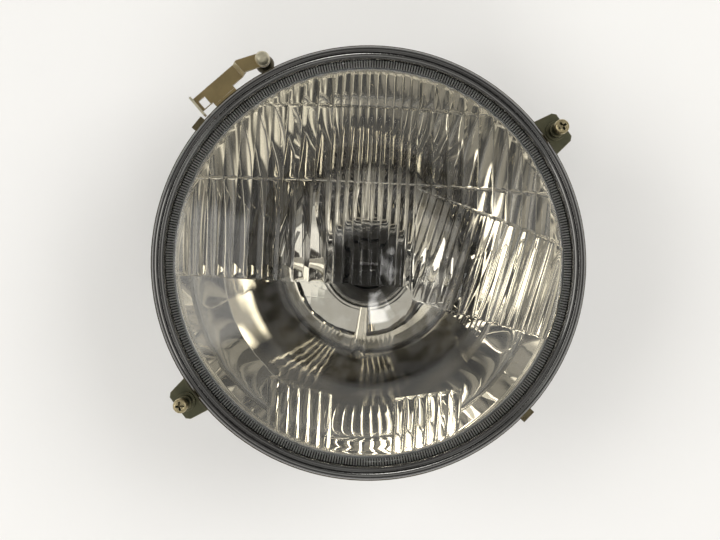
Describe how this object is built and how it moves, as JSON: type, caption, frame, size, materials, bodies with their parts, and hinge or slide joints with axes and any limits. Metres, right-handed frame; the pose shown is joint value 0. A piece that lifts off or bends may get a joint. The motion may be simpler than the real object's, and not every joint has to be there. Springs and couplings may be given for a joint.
{
  "type": "car headlight",
  "caption": "Round car headlight unit: fluted glass lens in a chrome ring, parabolic reflector, bulb in a twist-lock holder, carrier ring with lugs, adjusting screws and a pivot ball.",
  "frame": {"origin": "on the optical axis, in the plane of the bulb holder's foot rim, on which the unit stands", "axes": "+Z along the optical axis, out of the lens; +Y to the top of the lens as fitted to the car; +X to the right seen from in front of the lens"},
  "size_m": [0.182, 0.182, 0.1076],
  "materials": {
    "clear_lens": "clear pressed glass, polished outside, fluted inside",
    "seal_rubber": "matt black rubber",
    "bright_chrome": "polished chrome with fine scratches",
    "reflector_silver": "aluminised mirror inside, dull zinc outside",
    "yellow_zinc": "yellow passivated zinc, dulled and stained",
    "olive_zinc": "dark olive passivated zinc, dirty",
    "screw_zinc": "yellow passivated screw steel",
    "plain_zinc": "plain zinc plate, satin",
    "clip_steel": "thin spring steel, yellow passivated",
    "white_nylon": "aged white nylon",
    "seat_zinc": "pressed zinc-plated steel",
    "bulb_nickel": "nickel plate, satin",
    "bulb_glass": "thin clear glass",
    "contact_brass": "bare brass, slightly tarnished",
    "filament_metal": "dark tungsten and molybdenum",
    "black_moulding": "black moulded resin with a dull shine"
  },
  "bodies": {
    "light_unit": {"lens": "clear_lens", "lens_seal": "seal_rubber", "trim_ring": "bright_chrome", "trim_clips": "clip_steel", "reflector": "reflector_silver", "carrier_ring": "yellow_zinc", "carrier_rivets": "plain_zinc", "right_lug": "olive_zinc", "left_lug": "olive_zinc", "lug_rivets": "plain_zinc", "right_bush": "screw_zinc", "left_bush": "screw_zinc", "pivot_bracket": "yellow_zinc", "bracket_rivets": "plain_zinc", "pivot_stud": "plain_zinc", "bulb_seat": "seat_zinc", "earth_tab": "contact_brass", "bulb_flange": "bulb_nickel", "bulb_cap": "bulb_nickel", "bulb_insulator": "black_moulding", "bulb_contacts": "contact_brass", "bulb_globe": "bulb_glass", "bulb_stem": "bulb_glass", "filament_leads": "filament_metal", "main_filament": "filament_metal", "dip_filament": "filament_metal", "dip_shield": "filament_metal"},
    "right_screw": {"right_screw": "screw_zinc", "right_stop_ring": "plain_zinc"},
    "left_screw": {"left_screw": "screw_zinc", "left_stop_ring": "plain_zinc"},
    "right_nut": {"right_nut": "white_nylon"},
    "left_nut": {"left_nut": "white_nylon"},
    "bulb_holder": {"holder_body": "black_moulding", "holder_contacts": "contact_brass", "holder_terminals": "contact_brass"}
  },
  "joints": [
    {"name": "right_screw_turn", "type": "hinge", "parent": "light_unit", "child": "right_screw", "pos_m": [0.07644, 0.05972, 0.08783], "axis": [0, 0, 1], "range_deg": [-1800, 1800]},
    {"name": "right_nut_travel", "type": "slide", "parent": "light_unit", "child": "right_nut", "axis": [0, 0, 1], "range_m": [-0.0035, 0.0035]},
    {"name": "left_screw_turn", "type": "hinge", "parent": "light_unit", "child": "left_screw", "pos_m": [-0.07431, -0.06235, 0.08783], "axis": [0, 0, 1], "range_deg": [-1800, 1800]},
    {"name": "left_nut_travel", "type": "slide", "parent": "light_unit", "child": "left_nut", "axis": [0, 0, 1], "range_m": [-0.0035, 0.0035]},
    {"name": "bulb_holder_twist", "type": "hinge", "parent": "light_unit", "child": "bulb_holder", "pos_m": [0, 0, 0.01], "axis": [0, 0, 1], "range_deg": [-30, 0]}
  ],
  "couplings": [
    {"joint": "right_screw_turn", "follows": "right_nut_travel", "rad_per_m": -8976},
    {"joint": "left_screw_turn", "follows": "left_nut_travel", "rad_per_m": -8976}
  ]
}
